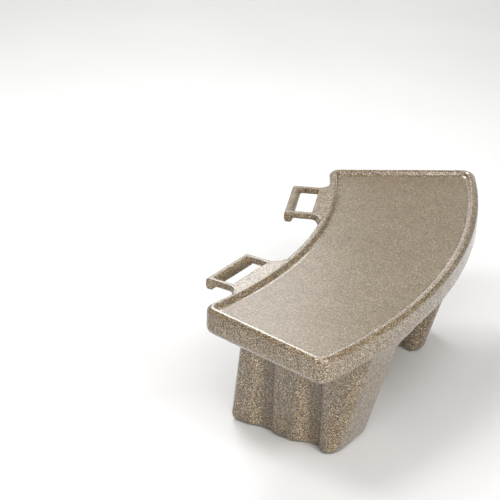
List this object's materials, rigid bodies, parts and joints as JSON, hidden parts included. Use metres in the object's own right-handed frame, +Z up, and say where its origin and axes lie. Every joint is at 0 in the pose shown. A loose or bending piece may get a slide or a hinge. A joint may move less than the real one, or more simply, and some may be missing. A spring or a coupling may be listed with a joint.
{
  "type": "spa rim shelf",
  "caption": "Curved bar tray with a raised lip that hangs on a round spa's rim on looped hooks, with reeded support legs beneath.",
  "frame": {"origin": "The middle of the tray's spa-side edge, level with the top of the rim that the hooks bear on", "axes": "+X points away from the spa across the tray, +Y runs along the tray's length, +Z is up"},
  "size_m": [0.4513, 1.0094, 0.318],
  "materials": {
    "speckled_stone": "satin",
    "foam": "matte",
    "brass": "satin",
    "steel": "satin",
    "rubber": "matte"
  },
  "bodies": {
    "root": {"tray_shell": "speckled_stone", "underside_pan": "speckled_stone", "pan_screws": "steel", "foam_core": "foam", "left_leg": "speckled_stone", "right_leg": "speckled_stone", "left_leg_inserts": "brass", "right_leg_inserts": "brass", "left_leg_washers": "steel", "right_leg_washers": "steel", "left_leg_screws": "steel", "right_leg_screws": "steel", "left_hook": "speckled_stone", "right_hook": "speckled_stone", "left_hook_inserts": "brass", "right_hook_inserts": "brass", "left_hook_washers": "steel", "right_hook_washers": "steel", "left_hook_bolts": "steel", "right_hook_bolts": "steel", "left_wall_bumpers": "rubber", "right_wall_bumpers": "rubber"},
    "left_plug": {"left_drain_plug": "rubber", "left_plug_seal": "rubber"},
    "right_plug": {"right_drain_plug": "rubber", "right_plug_seal": "rubber"}
  },
  "joints": [
    {"name": "left_plug_pull", "type": "slide", "parent": "root", "child": "left_plug", "axis": [0, 0, -1], "range_m": [0, 0.022]},
    {"name": "right_plug_pull", "type": "slide", "parent": "root", "child": "right_plug", "axis": [0, 0, -1], "range_m": [0, 0.022]}
  ]
}
